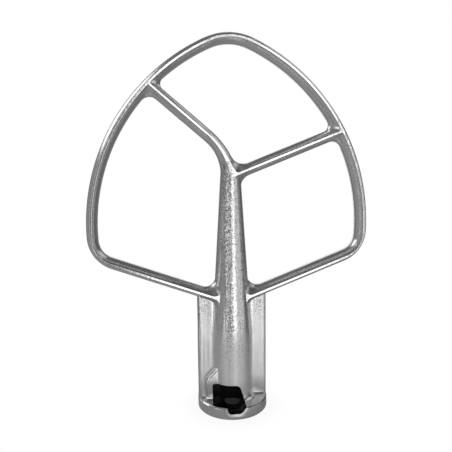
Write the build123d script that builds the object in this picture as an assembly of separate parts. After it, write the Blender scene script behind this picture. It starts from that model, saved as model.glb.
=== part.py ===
from build123d import *
from math import cos, isclose, radians, sqrt, tan
import os

# Flat beater of a stand mixer, one aluminium casting. Millimetres and degrees.
# The origin is the centre of the hub's mouth, +Z runs up the drive shaft's axis, the paddle lies in the
# plane y = 0, and the front, with the bayonet window, faces -Y.

# Paddle outline at mid-plane
paddle_width = 140.0
overall_height = 185.85
widest_height = 92.8
apex_radius = 28.0
corner_radius = 17.4
inner_corner_radius = 9.0
lower_arm_angle = 20.4
lower_arm_height = 51.8  # where the undersides of the two lower arms would meet on the axis
lower_arm_width = 5.7

# Section of the bars: widest at mid-plane, curving in to a narrow flat crest at the front and the back
bar_width = 5.5
bar_depth = 12.0
crest_width = 1.05

# Upper arms: angle to X, height at which the middle line crosses the axis, and width at mid-plane
left_arm_angle = 40.4
left_arm_height = 128.2
left_arm_width = 5.9
right_arm_angle = 21.2
right_arm_height = 117.85
right_arm_width = 6.0
crotch_edge_angle = 61.0  # the left arm's upper edge turns down to this before it meets the right arm
crotch_edge_height = 128.5

# Corner radii of the openings and under the lower arms, at mid-plane and at the crests
left_bend_radii = (21.0, 30.0)
right_branch_radii = (6.4, 4.0)
foot_radii = (5.0, 3.5)
under_arm_radii = (5.0, 4.0)
rim_corner_radii = (4.7, 0.8)
crotch_radii = (6.2, 1.5)
crotch_bend_radii = (42.0, 40.0)
top_right_radii = (3.5, 0.8)
top_left_radii = (3.0, 0.8)

# Shaft and hub
shaft_tip_radius = 4.6
shaft_tip_height = 125.0
shaft_tip_sink = 0.15  # how far the tip lies below the crests, front and back
root_sink = 0.2  # how far bars, webs, wings and the ring's flare reach into the shaft
barrel_radius = 10.05
barrel_height = 38.0
ring_radius = 17.6
ring_height = 5.8
ring_chamfer = 0.6
foot_flare = 3.0
wing_thickness = 5.0
wing_setback = 0.15  # of the wings' edges from the ring's edge
wing_edge_rounding = 1.5
wing_root_fillet = 1.2
cove_radius = 1.6
cove_reach = 1.5  # from wall to the cove's centre

# Bayonet: a quarter turn takes the drive pin from the entry channel on the left to the seat at the front
drive_shaft_diameter = 12.7
drive_pin_diameter = 4.76
drive_pin_reach = 12.3  # from the axis to the pin's free end
bore_clearance = 0.1
bore_depth = 46.0
channel_clearance = 0.4
window_height = 14.0
window_left = 10.85
window_right = 4.95  # at the ring's top, from where the right edge leans back
window_edge_angle = 17.7
window_radii = (1.0, 3.0)
seat_clearance = 0.7
seat_offset = -0.9
seat_floor = 2.85
seat_wall_angles = (17.3, 41.0)
seat_radii = (1.2, 3.0)
seat_bevel = (1.2, 0.3)  # on the ring's face, and in depth

# Boss round the entry channel, on the left wing
boss_end_wall = 1.35
boss_side_wall = 3.4
boss_shoulder = 16.8
boss_top_angle = 46.0
boss_shoulder_radius = 4.0
boss_rounding = 1.5

half_depth = bar_depth / 2
far = 3 * overall_height
half_paddle = paddle_width / 2
rise = overall_height - widest_height
side_radius = (half_paddle**2 + rise**2 - 2 * rise * apex_radius) / (2 * (half_paddle - apex_radius))
side_offset = side_radius - half_paddle
wing_reach = ring_radius - wing_setback
bore_radius = drive_shaft_diameter / 2 + bore_clearance
channel_width = drive_pin_diameter + 2 * channel_clearance
channel_reach = drive_pin_reach + channel_clearance


def taper(width, depth):
    """What one side of a bar has drawn in by at a depth from mid-plane, a parabola."""
    return (width - crest_width) / 2 * (depth / half_depth) ** 2


def above(height, angle):
    """Everything above a straight line that crosses the axis at a height and an angle."""
    return Pos(0, height) * Rot(0, 0, angle) * Rectangle(far, far, align=(Align.CENTER, Align.MIN))


def below(height, angle):
    """Everything below a straight line that crosses the axis at a height and an angle."""
    return Pos(0, height) * Rot(0, 0, angle) * Rectangle(far, far, align=(Align.CENTER, Align.MAX))


def round_corners(outline, corners, radii):
    """The outline with each of its named corners rounded to its own radius."""
    for corner, radius in zip(corners, radii):
        nearest = outline.vertices().sort_by_distance(corner)[0]
        outline = fillet(nearest, radius)
    return outline


def rim_outline(inset, arm_inset, corner):
    """Two side arcs, an apex arc and the lower arms, at distances inside the outer edges of rim and arms."""
    circle = Circle(side_radius - inset)
    foot = lower_arm_height + arm_inset / cos(radians(lower_arm_angle))
    outline = Pos(side_offset, widest_height) * circle & Pos(-side_offset, widest_height) * circle
    outline = outline & above(foot, lower_arm_angle) & above(foot, -lower_arm_angle)
    corners = outline.vertices().sort_by(Axis.Y)
    return round_corners(outline, [corners[-1], *corners[1:3]], [apex_radius - inset, corner, corner])


def shaft_half_width(height, depth):
    """Half the shaft's width at a height and a depth: its sections are ellipses between barrel and tip."""
    share = (height - barrel_height) / (shaft_tip_height - barrel_height)
    half_width = barrel_radius + (shaft_tip_radius - barrel_radius) * share
    return half_width * sqrt(max(0, 1 - (depth / shaft_half_depth(height)) ** 2))


def shaft_half_depth(height):
    """Half the shaft's depth at a height, the barrel's radius as far as the barrel's top."""
    share = max(0, (height - barrel_height) / (shaft_tip_height - barrel_height))
    return barrel_radius + (half_depth - shaft_tip_sink - barrel_radius) * share


def beside_shaft(side, depth):
    """Everything on one side of the shaft, as far as a straight line just inside its flank at a depth."""
    foot = shaft_half_width(barrel_height, depth) - root_sink
    tip = shaft_half_width(shaft_tip_height, depth) - root_sink
    slope = (tip - foot) / (shaft_tip_height - barrel_height)
    bottom = (side * (foot - slope * barrel_height), 0)
    top = (side * (foot + slope * (overall_height - barrel_height)), overall_height)
    return Polygon(bottom, top, (side * far, overall_height), (side * far, 0), align=None)


def radii_at(depth, *pairs):
    """Radii at a depth, from pairs of a radius at mid-plane and one at the crests."""
    crest_share = abs(depth) / half_depth
    return [middle + (crest - middle) * crest_share for middle, crest in pairs]


def outer_outline(depth):
    """The paddle's outer edge at a depth, with webs that round the corners between lower arms and shaft."""
    rim_taper = taper(bar_width, depth)
    arm_taper = taper(lower_arm_width, depth)
    outline = rim_outline(rim_taper, arm_taper, corner_radius - rim_taper)
    web_top = lower_arm_height + 2 * lower_arm_width
    half_foot = shaft_half_width(barrel_height, depth) - root_sink
    half_top = shaft_half_width(web_top, depth) - root_sink
    outline += Polygon(
        (-half_foot, barrel_height),
        (half_foot, barrel_height),
        (half_top, web_top),
        (-half_top, web_top),
        align=None,
    )
    corners = outline.vertices().sort_by(Axis.Y)[2:4]
    return round_corners(outline, corners, 2 * radii_at(depth, under_arm_radii))


def opening_outlines(depth):
    """The left, right and top openings at a depth, each bounded by the rim, the arms and the shaft."""
    rim_taper = taper(bar_width, depth)
    arm_taper = taper(lower_arm_width, depth)
    rim = rim_outline(bar_width - rim_taper, lower_arm_width - arm_taper, inner_corner_radius + rim_taper)
    left_rise = (left_arm_width / 2 - taper(left_arm_width, depth)) / cos(radians(left_arm_angle))
    right_rise = (right_arm_width / 2 - taper(right_arm_width, depth)) / cos(radians(right_arm_angle))
    crotch_drop = taper(left_arm_width, depth) / cos(radians(crotch_edge_angle))

    left = rim & below(left_arm_height - left_rise, -left_arm_angle) & beside_shaft(-1, depth)
    right = rim & below(right_arm_height - right_rise, right_arm_angle) & beside_shaft(1, depth)
    over_left_arm = above(left_arm_height + left_rise, -left_arm_angle)
    over_left_arm += above(crotch_edge_height - crotch_drop, -crotch_edge_angle)
    top = rim & above(right_arm_height + right_rise, right_arm_angle) & over_left_arm

    by_height = left.vertices().sort_by(Axis.Y)
    corners = [left.vertices().sort_by(Axis.X)[-1], by_height[0], by_height[-1]]
    left = round_corners(left, corners, radii_at(depth, left_bend_radii, foot_radii, rim_corner_radii))
    by_height = right.vertices().sort_by(Axis.Y)
    corners = [right.vertices().sort_by(Axis.X)[0], by_height[0], by_height[-1]]
    right = round_corners(right, corners, radii_at(depth, right_branch_radii, foot_radii, rim_corner_radii))
    corners = top.vertices().sort_by(Axis.Y)[:4]
    top_radii = radii_at(depth, crotch_radii, crotch_bend_radii, top_right_radii, top_left_radii)
    top = round_corners(top, corners, top_radii)
    return left, right, top


def paddle_blocks():
    """The paddle's outer block and its three opening blocks, lofted from back crest to front crest."""
    depths = (-half_depth, 0, half_depth)
    sections = []
    for depth in depths:
        plane = Plane.XZ.offset(depth)
        sections.append([plane * outline for outline in (outer_outline(depth), *opening_outlines(depth))])
    return [loft(outlines) for outlines in zip(*sections)]


def turned_ring():
    """The ring turned about the axis, with chamfered edges and a flare that runs up to the barrel."""
    flare_radius = barrel_radius - root_sink
    flare_top = ring_height + 2 * foot_flare
    face = Polygon(
        (0, 0),
        (ring_radius, 0),
        (ring_radius, ring_height),
        (flare_radius, ring_height),
        (flare_radius, flare_top),
        (0, flare_top),
        align=None,
    )
    face = chamfer(face.vertices().group_by(Axis.X)[-1], ring_chamfer)
    face = round_corners(face, [(flare_radius, ring_height)], [foot_flare])
    return revolve(Plane.XZ * face, Axis.Z)


def shaft_body():
    """Barrel and shaft, drawn from the round barrel to an ellipse that sinks between the crests."""
    foot = Pos(0, 0, ring_height / 2) * Circle(barrel_radius)
    barrel_top = Pos(0, 0, barrel_height) * Circle(barrel_radius)
    tip = Pos(0, 0, shaft_tip_height) * Ellipse(shaft_tip_radius, shaft_half_depth(shaft_tip_height))
    return loft([foot, barrel_top, tip], ruled=True)


def hub_section(height):
    """Section through the wings: a flat bar on a core inside the shaft, rounded at the roots and edges."""
    core = Ellipse(shaft_half_width(height, 0) - root_sink, shaft_half_depth(height) - root_sink)
    section = (core + Rectangle(2 * ring_radius, wing_thickness)) & Circle(wing_reach)
    corners = section.vertices().sort_by(lambda corner: abs(corner.X))
    section = round_corners(section, corners[:4], 4 * [wing_root_fillet])
    return Pos(0, 0, height) * round_corners(section, corners[4:], 4 * [wing_edge_rounding])


def wings():
    """The two wings with a core between them, from the ring up to the middle of the lower arms."""
    arm_middle = lower_arm_height + lower_arm_width / 2 / cos(radians(lower_arm_angle))
    wing_top = arm_middle + 2 * ring_radius * tan(radians(lower_arm_angle))
    under_arms = below(arm_middle, lower_arm_angle) + below(arm_middle, -lower_arm_angle)
    under_arms = extrude(Plane.XZ * under_arms, ring_radius, both=True)
    lower = extrude(hub_section(barrel_height), ring_height / 2 - barrel_height)
    upper = loft([hub_section(barrel_height), hub_section(wing_top)], ruled=True)
    return (lower + upper) & under_arms


def channel_boss():
    """The thick wall round the entry channel, with a rounded shoulder and a sloping top."""
    reach = channel_reach + boss_end_wall
    foot = ring_height / 2
    profile = Polygon(
        (0, foot),
        (0, boss_shoulder + reach * tan(radians(boss_top_angle))),
        (-reach, boss_shoulder),
        (-reach, foot),
        align=None,
    )
    profile = round_corners(profile, [(-reach, boss_shoulder)], [boss_shoulder_radius])
    boss = extrude(Plane.XZ * profile, channel_width / 2 + boss_side_wall, both=True)
    sides = boss.faces().filter_by(Axis.Y).edges().filter_by_position(Axis.Z, ring_height, far)
    return fillet(sides.sort_by(Axis.X)[:-2], boss_rounding)


def cove(length):
    """A strip along X that fills the corner between a wall and the ring's top with a hollow round."""
    hollow = Pos(cove_reach, cove_reach) * Circle(cove_radius)
    section = Pos(-cove_radius, -cove_radius) * Rectangle(2 * cove_radius, 2 * cove_radius, align=Align.MIN)
    return Pos(0, 0, ring_height) * extrude(Plane.YZ * (section - hollow), length)


def foot_coves():
    """Coves at the feet of the wings, from the barrel to their rounded edges, and at the foot of the boss."""
    wing_cove = Pos(0, wing_thickness / 2) * cove(wing_reach - wing_edge_rounding)
    boss_reach = channel_reach + boss_end_wall
    boss_half_width = channel_width / 2 + boss_side_wall
    side_cove = Pos(-boss_reach, boss_half_width) * cove(boss_reach)
    end_cove = Pos(-boss_reach, -boss_half_width) * Rot(0, 0, 90) * cove(2 * boss_half_width)
    halves = wing_cove + mirror(wing_cove, Plane.YZ) + side_cove
    return halves + mirror(halves, Plane.XZ) + end_cove


def window_outline():
    """The bayonet window with the pin's seat under it, as seen from the front."""
    top_right = window_right - (window_height - ring_height) * tan(radians(window_edge_angle))
    window = Polygon(
        (-window_left, ring_height),
        (window_right, ring_height),
        (top_right, window_height),
        (-window_left, window_height),
        align=None,
    )
    window = round_corners(window, [(-window_left, window_height), (top_right, window_height)], window_radii)
    half_floor = drive_pin_diameter / 2 + seat_clearance
    floor_corners = [(seat_offset - half_floor, seat_floor), (seat_offset + half_floor, seat_floor)]
    seat_depth = ring_height - seat_floor
    left_spread, right_spread = (seat_depth * tan(radians(angle)) for angle in seat_wall_angles)
    seat = Polygon(
        *floor_corners,
        (seat_offset + half_floor + right_spread, ring_height),
        (seat_offset - half_floor - left_spread, ring_height),
        align=None,
    )
    return window + round_corners(seat, floor_corners, seat_radii)


def bayonet_cut():
    """Bore, entry channel, window and seat, as the drive shaft and its pin sweep them."""
    bore = Cylinder(bore_radius, bore_depth, align=(Align.CENTER, Align.CENTER, Align.MIN))
    channel = Box(channel_reach, channel_width, window_height, align=(Align.MAX, Align.CENTER, Align.MIN))
    front = extrude(Plane.XZ * window_outline(), 2 * ring_radius, dir=(0, -1, 0))
    return bore + channel + front


def bevel_seat(casting):
    """The casting with a shallow bevel where the seat breaks through the outer face of the ring."""
    faces = casting.faces().filter_by(lambda face: face.geom_type == GeomType.CYLINDER)
    ring_face = faces.filter_by(lambda face: isclose(face.radius, ring_radius)).sort_by(SortBy.AREA)[-1]
    edges = ring_face.edges().filter_by_position(Axis.Y, -ring_radius, -channel_reach)
    edges = edges.filter_by_position(Axis.Z, ring_chamfer, ring_height, inclusive=(False, True))
    edges = edges.filter_by(lambda edge: not isclose(edge.center().Z, ring_height - ring_chamfer))
    return chamfer(edges, *seat_bevel, reference=ring_face)


rim_block, left_block, right_block, top_block = paddle_blocks()
paddle = rim_block - left_block - right_block - top_block
shaft = shaft_body() - top_block
casting = paddle + shaft + wings() + turned_ring() + channel_boss() + foot_coves() - bayonet_cut()
casting = bevel_seat(casting)

os.makedirs("parts", exist_ok=True)
export_step(casting, "parts/beater.step")
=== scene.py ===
import math
from types import SimpleNamespace

import bpy
import numpy as np
from mathutils import Matrix, Vector

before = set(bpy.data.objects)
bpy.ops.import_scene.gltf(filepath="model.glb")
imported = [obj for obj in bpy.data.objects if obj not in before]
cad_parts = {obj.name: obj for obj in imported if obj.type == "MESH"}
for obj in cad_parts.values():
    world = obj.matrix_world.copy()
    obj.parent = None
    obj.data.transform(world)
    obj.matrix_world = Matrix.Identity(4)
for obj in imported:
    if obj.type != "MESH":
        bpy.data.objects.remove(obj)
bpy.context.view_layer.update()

# Sizes of the casting that its finish follows, in metres.
RING_TOP = 0.0058
RING_RADIUS = 0.0176
RING_CHAMFER = 0.0006
BARREL_RADIUS = 0.01005
BARREL_TOP = 0.038
SHAFT_TOP = 0.125
CREST_DEPTH = 0.006
WING_HALF_THICKNESS = 0.0025
WING_TOP = 0.06
BORE_RADIUS = 0.00645
BORE_DEPTH = 0.046
CHANNEL_REACH = 0.0127
CHANNEL_HALF_WIDTH = 0.00278
WINDOW_TOP = 0.014
SEAT_OFFSET = -0.0009
SEAT_HALF_WIDTH = 0.006
SEAT_BEVEL = 0.0013

# A hair's breadth in metres: a mask reaches a few of them past a face, or stops a few of them short of one.
HAIR = 0.0001

# Where one finish fades into the next, from and to, in metres up the casting.
CAST_FADE = (0.034, 0.05)
BARREL_FADE = (0.032, 0.046)
SHAFT_FADE = (0.018, 0.05)
WING_TOP_FADE = (0.040, 0.054)

# The sides of the band on the shaft's front that gets more grain and pits, in metres across, and the share
# it loses at its right. Its extra dark pits are partly cast pits and partly painted shade.
BAND_LEFT_FADE = (-0.0046, -0.0036)
BAND_RIGHT_FADE = (-0.0008, 0.0002)
BAND_RIGHT_LOSS = 0.8

# How wide the change from shaft to bars is, in metres, and the share of the cast skin that crests have lost.
BARS_FADE_WIDTH = 0.004
CREST_WEAR = 0.85

# The finish's noises: how many cells there are to a metre, then detail and roughness.
GRAIN = (1100.0, 2.0, 0.6)
PIT_NOISE = (1900.0, 1.0, 0.5)
CLOUDS = (120.0, 3.0, 0.55)
STREAKS = (700.0, 2.0, 0.5)

# A small factor up the casting draws the streaks out, and a pit is where its noise rises past these levels.
STREAK_STRETCH = (1.0, 1.0, 0.03)
PIT_EDGE = (0.52, 0.57)

# How thick the pits lie: everywhere, and what each place adds.
PITS_EVERYWHERE = 0.04
PITS_ON_SHAFT = 0.35
# The band's extra pits are partly cast pits and partly painted shade.
PITS_AND_PAINTED_SHADE_IN_BAND = 0.6
PITS_ON_WING_TOP = 0.7
PITS_ON_BARREL = 0.1

# How rough the metal is, what patterns and places add, and what share polish takes away.
PLAIN_ROUGHNESS = 0.17
CLOUD_ROUGHNESS = 0.1
STREAK_ROUGHNESS = 0.05
INSIDE_ROUGHNESS = 0.3
TURNED_ROUGHNESS = 0.3
BARREL_ROUGHNESS = 0.25
WING_ROUGHNESS = 0.1
RING_TOP_POLISH = 0.6
CREST_POLISH = 0.4

# How light the metal is, how much clouds and streaks change that, what share painted shade takes on the
# hub's inside walls, and what share pits take.
PLAIN_SHADE = 0.86
CLOUD_SHADE = 0.05
CLOUD_NEUTRAL = 0.5
WING_STREAK_SHADE = 0.35
WING_STREAK_NEUTRAL = 0.1
# Painted shade: the share of the colour taken away on the walls of the bore, the entry channel and the pin's
# seat, standing for the shade inside the hub.
PAINTED_INSIDE_SHADE = 0.93
PIT_DARKNESS = 0.75

# The relief in the shading: what a height of 1 is in metres, the patterns' heights, and shares worn flat.
RELIEF_HEIGHT = 0.0003
GRAIN_EVERYWHERE = 0.12
GRAIN_ON_SHAFT = 0.12
GRAIN_IN_BAND = 0.8
STREAK_RELIEF = 0.4
CLOUD_RELIEF = 0.3
RING_TOP_FLATNESS = 0.85
CREST_FLATNESS = 0.6

# The crown of the bars' flanks: they fall by this times the square of the depth, in metres.
BAR_CROWN = 15.0

# How far and how deep the change from barrel to taper is eased, and the edges' rounding, in metres.
TAPER_EASE_REACH = 0.008
TAPER_EASE_DEPTH = 0.000126
EDGE_ROUNDING = 0.0003
EDGE_SAMPLES = 8

# The floor, a round card just under the casting: sizes in metres, its grid, and the share of its middle.
FLOOR_RADIUS = 0.045
FLOOR_DROP = 0.00002
FLOOR_RINGS = 3
FLOOR_SEGMENTS = 64
FLOOR_MIDDLE = 0.002

# The card's grey, its white at the ring, and how far the faint shadow reaches outside the ring, in metres.
CARD_GREY = 0.75
CONTACT_WHITE = 0.94
CONTACT_SHADOW = 0.012

# How far the white reaches in under the ring, and where the card turns white in the metal, in metres.
FLOOR_UNDER_RING = 0.001
FLOOR_BACK_FADE = (0.02, 0.04)

# The room: the way from the casting to the white backdrop, the backdrop's edges and the grey round it.
BACKDROP = Vector((0.0, 0.97, 0.24))
BACKDROP_EDGE = (0.91, 0.945)
LEVEL_BACKDROP_EDGE = (0.95, 0.98)
ROOM_GREY = 0.18
ROOM_SIDE_FALL = 0.08
ROOM_BACK_RISE = 0.12
ROOM_BACK_FADE = (0.5, 0.9)
ROOM_TOP_FALL = 0.07

WHITE = (1.0, 1.0, 1.0, 1.0)

# The paddle's middle, which the lamps face, in metres.
LAMP_TARGET = Vector((0.0, 0.0, 0.09))

# The camera: lengths in metres, angles in degrees, and its lens and sensor in millimetres.
CAMERA_TARGET = Vector((-0.002389, 0.0, 0.093156))
CAMERA_DISTANCE = 0.245507
CAMERA_AZIMUTH = -7.683
CAMERA_ELEVATION = 7.008
CAMERA_ROLL = -0.595
CAMERA_LENS = 39.302
CAMERA_SENSOR = 36.0
CAMERA_NEAR = 0.01


class Value:
    """A node's output socket, with arithmetic that adds Math nodes, where | gives the larger of two."""

    def __init__(self, graph, socket):
        self.graph = graph
        self.socket = socket

    def math(self, operation, *operands):
        """Adds a Math node with this value as its first operand."""
        return self.graph.math(operation, self, *operands)

    def __add__(self, other):
        return self.math("ADD", other)

    __radd__ = __add__

    def __sub__(self, other):
        return self.math("SUBTRACT", other)

    def __rsub__(self, other):
        return self.graph.math("SUBTRACT", other, self)

    def __mul__(self, other):
        return self.math("MULTIPLY", other)

    __rmul__ = __mul__

    def __truediv__(self, other):
        return self.math("DIVIDE", other)

    def __lt__(self, other):
        return self.math("LESS_THAN", other)

    def __gt__(self, other):
        return self.math("GREATER_THAN", other)

    def __or__(self, other):
        return self.math("MAXIMUM", other)

    def __abs__(self):
        return self.math("ABSOLUTE")


class Graph:
    """A material's or the world's node tree, emptied and ready to be filled."""

    def __init__(self, owner):
        owner.use_nodes = True
        self.tree = owner.node_tree
        self.tree.nodes.clear()

    def node(self, kind, settings, sockets):
        """Adds a node of a kind, sets its settings, then sets or links its sockets."""
        added = self.tree.nodes.new(kind)
        for name, setting in settings.items():
            setattr(added, name, setting)
        for key, value in sockets.items():
            if isinstance(value, Value):
                self.tree.links.new(value.socket, added.inputs[key])
            else:
                added.inputs[key].default_value = value
        return added

    def output(self, kind, name, settings, sockets):
        """Adds a node and wraps one of its outputs."""
        return Value(self, self.node(kind, settings, sockets).outputs[name])

    def outputs(self, kind, names, sockets):
        """Adds a node and wraps several of its outputs."""
        added = self.node(kind, {}, sockets)
        return [Value(self, added.outputs[name]) for name in names]

    def math(self, operation, *operands):
        """Adds a Math node."""
        return self.output("ShaderNodeMath", "Value", {"operation": operation}, dict(enumerate(operands)))

    def smooth(self, value, low, high):
        """A soft step of a value from 0 at low to 1 at high."""
        settings = {"interpolation_type": "SMOOTHSTEP"}
        sockets = {"Value": value, "From Min": low, "From Max": high}
        return self.output("ShaderNodeMapRange", "Result", settings, sockets)

    def noise(self, where, scale, detail, roughness):
        """Noise over a place, from 0 to 1."""
        sockets = {"Vector": where, "Scale": scale, "Detail": detail, "Roughness": roughness}
        return self.output("ShaderNodeTexNoise", "Fac", {"noise_dimensions": "3D"}, sockets)

    def grey(self, level):
        """A grey colour of a level."""
        sockets = {"Red": level, "Green": level, "Blue": level}
        return self.output("ShaderNodeCombineColor", "Color", {}, sockets)

    def rays(self):
        """Whether a ray comes straight from the camera, and whether it was reflected or transmitted."""
        names = ("Is Camera Ray", "Is Glossy Ray", "Is Transmission Ray")
        camera, glossy, through = self.outputs("ShaderNodeLightPath", names, {})
        return camera, glossy | through


def inside_walls(x, y, z, radius):
    """1 on the walls of the bore, the entry channel and the pin's seat, else 0. There the colour carries
    painted shade and the metal is rougher.
    """
    bore = (radius < BORE_RADIUS + 2 * HAIR) * (z < BORE_DEPTH + 5 * HAIR)
    channel = (abs(y) < CHANNEL_HALF_WIDTH + HAIR) * (z < WINDOW_TOP + HAIR)
    channel = channel * (x < 0) * (x > -CHANNEL_REACH - HAIR)
    seat = (abs(x - SEAT_OFFSET) < SEAT_HALF_WIDTH) * (y < 0) * (radius < RING_RADIUS - SEAT_BEVEL)
    seat = seat * (z < RING_TOP - 2 * HAIR)
    return bore | channel | seat


def casting_places(graph, x, y, z):
    """Masks of the casting's places, from 0 to 1, by height z, depth y and radius about the axis."""
    radius = (x * x + y * y).math("SQRT")
    round_part = radius < BARREL_RADIUS + 4 * HAIR
    at = SimpleNamespace()
    at.inside = inside_walls(x, y, z, radius)
    at.turned = (radius > RING_RADIUS - 2 * HAIR) * (z < RING_TOP - RING_CHAMFER)
    at.ring_top = (abs(z - RING_TOP) < HAIR) * (radius < RING_RADIUS)
    at.crest = graph.smooth(abs(y), CREST_DEPTH - 4 * HAIR, CREST_DEPTH - HAIR) * (radius > BARREL_RADIUS)
    at.cast = graph.smooth(z, *CAST_FADE) * (1 - CREST_WEAR * at.crest)
    at.barrel = round_part * (1 - graph.smooth(z, *BARREL_FADE))
    at.shaft = round_part * graph.smooth(z, *SHAFT_FADE) * (z < SHAFT_TOP)
    at.band = at.shaft * graph.smooth(x, *BAND_LEFT_FADE) * (y < 0)
    at.band = at.band * (1 - BAND_RIGHT_LOSS * graph.smooth(x, *BAND_RIGHT_FADE))
    at.bars = graph.smooth(radius, BARREL_RADIUS, BARREL_RADIUS + BARS_FADE_WIDTH)
    at.wing = (radius > BARREL_RADIUS + 6 * HAIR) * (abs(y) < WING_HALF_THICKNESS + HAIR) * (z < WING_TOP)
    at.wing_top = at.wing * graph.smooth(z, *WING_TOP_FADE)
    return at


def metal_roughness(at, cloud, streak):
    """A plain roughness plus what patterns and places add, less the share that polish takes away."""
    added = CLOUD_ROUGHNESS * cloud + STREAK_ROUGHNESS * streak * (1 - at.cast)
    added = added + INSIDE_ROUGHNESS * at.inside + TURNED_ROUGHNESS * at.turned
    added = added + BARREL_ROUGHNESS * at.barrel + WING_ROUGHNESS * at.wing
    return (PLAIN_ROUGHNESS + added) * (1 - RING_TOP_POLISH * at.ring_top) * (1 - CREST_POLISH * at.crest)


def metal_shade(graph, at, place, cloud, streak):
    """A pale grey with clouds, and streaks on the wings, times what pits and the painted shade on the hub's
    inside walls leave of it.
    """
    # The extra pits in the band on the shaft's front are partly cast pits and partly painted shade.
    thickness = PITS_EVERYWHERE + PITS_ON_SHAFT * at.shaft + PITS_AND_PAINTED_SHADE_IN_BAND * at.band
    thickness = thickness + PITS_ON_WING_TOP * at.wing_top + PITS_ON_BARREL * at.barrel
    pits = graph.smooth(graph.noise(place, *PIT_NOISE), *PIT_EDGE) * thickness
    shade = PLAIN_SHADE + CLOUD_SHADE * (cloud - CLOUD_NEUTRAL)
    shade = shade - WING_STREAK_SHADE * at.wing * (streak - WING_STREAK_NEUTRAL)
    # Painted shade: the bore, channel and seat walls are darkened almost to black, where shade falls inside
    # the hub.
    return shade * (1 - PAINTED_INSIDE_SHADE * at.inside) * (1 - PIT_DARKNESS * pits)


def metal_relief(graph, at, place, y, z, cloud, streak):
    """Grain, streaks and clouds, less the crown's fall, less the ease of the taper.

    The crown's fall grows with the square of the depth. The ease is the square of a slope that is 1 at the
    barrel's top and 0 at the ease's reach above and below.
    """
    grain = GRAIN_EVERYWHERE + GRAIN_ON_SHAFT * at.shaft + GRAIN_IN_BAND * at.band
    height = graph.noise(place, *GRAIN) * grain
    height = height + STREAK_RELIEF * streak * (1 - at.cast) + CLOUD_RELIEF * cloud
    ease = (1 - abs(z - BARREL_TOP) / TAPER_EASE_REACH) | 0.0
    height = height - BAR_CROWN / RELIEF_HEIGHT * y * y * at.bars
    height = height - TAPER_EASE_DEPTH / RELIEF_HEIGHT * ease * ease * (1 - at.bars)
    return height * (1 - RING_TOP_FLATNESS * at.ring_top) * (1 - CREST_FLATNESS * at.crest)


def burnished_aluminium():
    """Tumbled and burnished casting: crests worn smooth, cast grain on the shaft, streaks down the hub."""
    material = bpy.data.materials.new("burnished_aluminium")
    graph = Graph(material)
    place = graph.output("ShaderNodeTexCoord", "Object", {}, {})
    x, y, z = graph.outputs("ShaderNodeSeparateXYZ", "XYZ", {"Vector": place})
    at = casting_places(graph, x, y, z)
    drawn_out = {0: place, 1: STREAK_STRETCH}
    upright = graph.output("ShaderNodeVectorMath", "Vector", {"operation": "MULTIPLY"}, drawn_out)
    cloud = graph.noise(place, *CLOUDS)
    streak = graph.noise(upright, *STREAKS)
    colour = graph.grey(metal_shade(graph, at, place, cloud, streak))
    height = metal_relief(graph, at, place, y, z, cloud, streak)
    rounded = graph.output("ShaderNodeBevel", "Normal", {"samples": EDGE_SAMPLES}, {"Radius": EDGE_ROUNDING})
    relief = {"Strength": 1.0, "Distance": RELIEF_HEIGHT, "Height": height, "Normal": rounded}
    bump = graph.output("ShaderNodeBump", "Normal", {}, relief)
    roughness = metal_roughness(at, cloud, streak)
    sockets = {"Base Color": colour, "Metallic": 1.0, "Roughness": roughness, "Normal": bump}
    shader = graph.output("ShaderNodeBsdfPrincipled", "BSDF", {}, sockets)
    graph.node("ShaderNodeOutputMaterial", {}, {"Surface": shader})
    return material


def floor_finish():
    """Pale card, which the camera sees white, a little darker near the ring and grey under it.

    In the metal it is white at the back, where it carries on the backdrop.
    """
    material = bpy.data.materials.new("floor")
    graph = Graph(material)
    place = graph.output("ShaderNodeTexCoord", "Object", {}, {})
    (y,) = graph.outputs("ShaderNodeSeparateXYZ", "Y", {"Vector": place})
    reach = graph.output("ShaderNodeVectorMath", "Value", {"operation": "LENGTH"}, {0: place})
    camera, mirrored = graph.rays()
    away = graph.smooth(reach, RING_RADIUS, RING_RADIUS + CONTACT_SHADOW)
    bare = (CONTACT_WHITE + (1 - CONTACT_WHITE) * away) * (reach > RING_RADIUS - FLOOR_UNDER_RING)
    seen = camera * bare | mirrored * graph.smooth(y, *FLOOR_BACK_FADE)
    card_grey = (CARD_GREY, CARD_GREY, CARD_GREY, 1.0)
    card = graph.output("ShaderNodeBsdfDiffuse", "BSDF", {}, {"Color": card_grey})
    white = graph.output("ShaderNodeEmission", "Emission", {}, {"Color": WHITE, "Strength": 1.0})
    mixed = graph.output("ShaderNodeMixShader", "Shader", {}, {0: seen, 1: card, 2: white})
    graph.node("ShaderNodeOutputMaterial", {}, {"Surface": mixed})
    return material


def studio_world():
    """White to the camera. To the metal a white backdrop behind the casting, in a grey room.

    The grey falls towards the right and the top. At the back it rises a little towards the right.
    """
    world = bpy.data.worlds.new("studio")
    graph = Graph(world)
    camera, mirrored = graph.rays()
    towards = graph.output("ShaderNodeTexCoord", "Generated", {}, {})
    x, y, z = graph.outputs("ShaderNodeSeparateXYZ", "XYZ", {"Vector": towards})
    backdrop = graph.smooth(BACKDROP.y * y + BACKDROP.z * z, *BACKDROP_EDGE)
    backdrop = backdrop | graph.smooth(y, *LEVEL_BACKDROP_EDGE)
    back = ROOM_BACK_RISE * x * graph.smooth(y, *ROOM_BACK_FADE)
    grey = ROOM_GREY - ROOM_SIDE_FALL * x + back - ROOM_TOP_FALL * z
    seen = camera | mirrored * backdrop
    room_sockets = {"Color": graph.grey(grey), "Strength": 1.0}
    room = graph.output("ShaderNodeBackground", "Background", {}, room_sockets)
    white = graph.output("ShaderNodeBackground", "Background", {}, {"Color": WHITE, "Strength": 1.0})
    mixed = graph.output("ShaderNodeMixShader", "Shader", {}, {0: seen, 1: room, 2: white})
    graph.node("ShaderNodeOutputWorld", {}, {"Surface": mixed})
    bpy.context.scene.world = world


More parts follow.
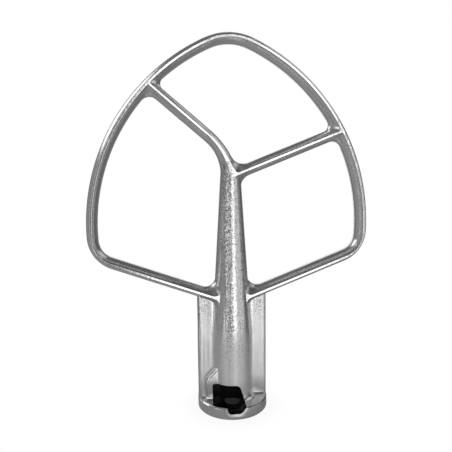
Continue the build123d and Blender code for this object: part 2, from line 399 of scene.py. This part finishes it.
def floor_disc():
    """A flat disc: u times the radius out, at the angle 2 pi v, with u from its small middle to its edge."""
    across = np.linspace(FLOOR_MIDDLE, 1, FLOOR_RINGS)
    around = np.linspace(0, 1, FLOOR_SEGMENTS, endpoint=False)
    u, v = np.meshgrid(across, around, indexing="ij")
    x = FLOOR_RADIUS * u * np.cos(2 * np.pi * v)
    y = FLOOR_RADIUS * u * np.sin(2 * np.pi * v)
    points = np.stack([x, y, np.full_like(u, -FLOOR_DROP)], -1)
    index = np.arange(u.size).reshape(u.shape)
    inner, outer = index[:-1], index[1:]
    quads = np.stack([inner, outer, np.roll(outer, -1, 1), np.roll(inner, -1, 1)], -1)
    faces = quads.reshape(-1, 4).tolist() + [index[0].tolist()]
    mesh = bpy.data.meshes.new("floor")
    mesh.from_pydata(points.reshape(-1, 3).tolist(), [], faces)
    return bpy.data.objects.new("floor", mesh)


def direction(turn, lift):
    """A unit vector turned from the front towards the right, then lifted, by angles in degrees."""
    turn = math.radians(turn)
    lift = math.radians(lift)
    return Vector((math.sin(turn) * math.cos(lift), -math.cos(turn) * math.cos(lift), math.sin(lift)))


def soft_lamp(name, turn, lift, distance, width, height, radiance):
    """A soft lamp that faces the paddle's middle. Its power is pi times its radiance times its area."""
    data = bpy.data.lights.new(name, "AREA")
    data.shape = "RECTANGLE"
    data.size = width
    data.size_y = height
    data.energy = radiance * math.pi * width * height
    lamp = bpy.data.objects.new(name, data)
    away = direction(turn, lift)
    lamp.location = LAMP_TARGET + distance * away
    lamp.rotation_euler = away.to_track_quat("Z", "Y").to_euler()
    bpy.context.collection.objects.link(lamp)


def photograph_camera():
    """The camera on a sphere round its target, rolled about its own axis."""
    data = bpy.data.cameras.new("camera")
    data.lens = CAMERA_LENS
    data.sensor_width = CAMERA_SENSOR
    data.clip_start = CAMERA_NEAR
    camera = bpy.data.objects.new("camera", data)
    back = direction(CAMERA_AZIMUTH, CAMERA_ELEVATION)
    right = (-back).cross(Vector((0, 0, 1))).normalized()
    up = right.cross(-back)
    roll = math.radians(CAMERA_ROLL)
    across = math.cos(roll) * right + math.sin(roll) * up
    upright = math.cos(roll) * up - math.sin(roll) * right
    place = CAMERA_TARGET + CAMERA_DISTANCE * back
    camera.matrix_world = Matrix.Translation(place) @ Matrix((across, upright, back)).transposed().to_4x4()
    bpy.context.collection.objects.link(camera)
    bpy.context.scene.camera = camera


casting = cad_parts["beater"]
casting.data.materials.clear()
casting.data.materials.append(burnished_aluminium())

floor = floor_disc()
floor.data.materials.append(floor_finish())
bpy.context.collection.objects.link(floor)

studio_world()
soft_lamp("front_lamp", turn=10.0, lift=-4.0, distance=1.0, width=0.5, height=0.85, radiance=1.4)
soft_lamp("left_front_lamp", turn=-43.0, lift=0.0, distance=1.0, width=0.3, height=1.1, radiance=1.0)
soft_lamp("right_front_lamp", turn=53.0, lift=0.0, distance=1.0, width=0.95, height=1.1, radiance=0.5)
soft_lamp("left_lamp", turn=-110.0, lift=37.0, distance=0.7, width=0.5, height=0.38, radiance=1.2)
soft_lamp("right_lamp", turn=110.0, lift=40.0, distance=0.7, width=0.5, height=0.38, radiance=0.5)
photograph_camera()

bpy.context.scene.view_settings.view_transform = "Standard"
